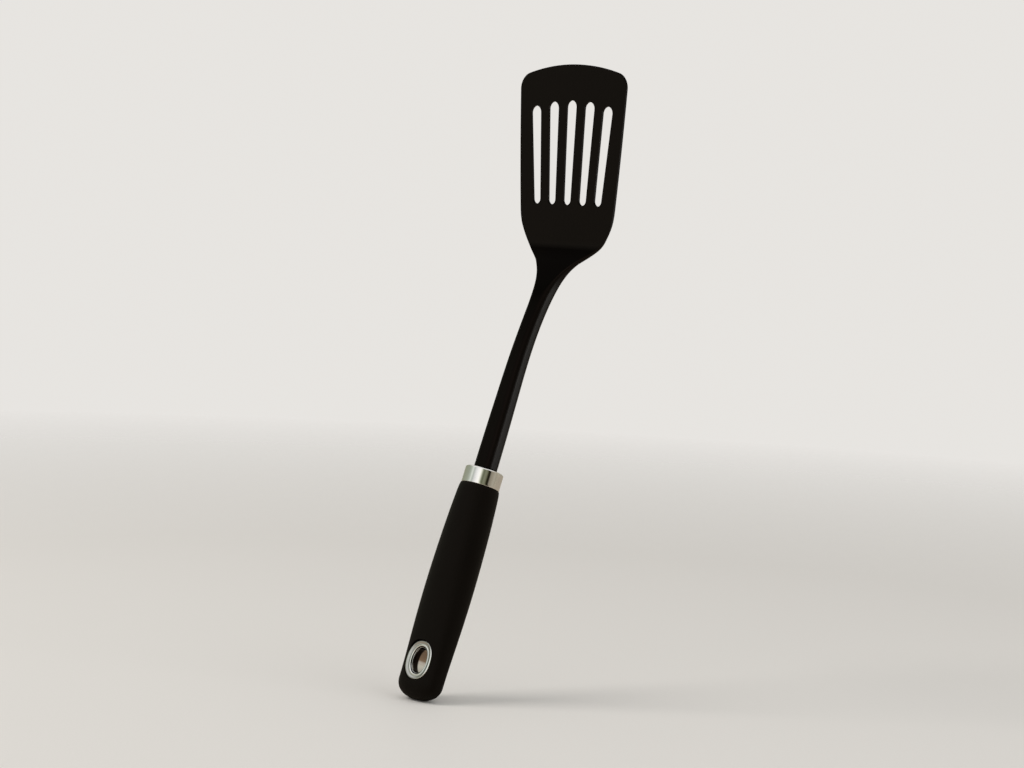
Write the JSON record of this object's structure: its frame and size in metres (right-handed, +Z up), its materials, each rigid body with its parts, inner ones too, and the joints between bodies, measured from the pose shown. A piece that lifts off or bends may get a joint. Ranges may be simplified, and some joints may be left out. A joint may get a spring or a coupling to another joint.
{
  "type": "slotted turner",
  "caption": "Slotted nylon kitchen turner: flared flat blade on a cranked shaft, steel ferrule, soft tapered grip and an oval steel hanging eyelet.",
  "frame": {"origin": "centre of the bounding box in X and Y, on the plane that touches the lowest point of the butt end", "axes": "+Z up the flat blade towards its front edge, X across the width of the blade (the turner is mirror symmetric in X), -Y out of the face that food lies on; the handle leans back towards -Y as it goes down"},
  "size_m": [0.075, 0.0976, 0.3261],
  "materials": {
    "nylon": "fine matt moulded black with a warm cast",
    "ferrule_steel": "polished",
    "core_plastic": "plain moulded, hidden",
    "soft_grip": "satin soft-touch black",
    "eyelet_steel": "satin"
  },
  "bodies": {
    "root": {"head_and_shaft": "nylon", "ferrule": "ferrule_steel", "handle_core": "core_plastic", "grip_sleeve": "soft_grip", "eyelet_front": "eyelet_steel", "eyelet_back": "eyelet_steel"}
  },
  "joints": []
}
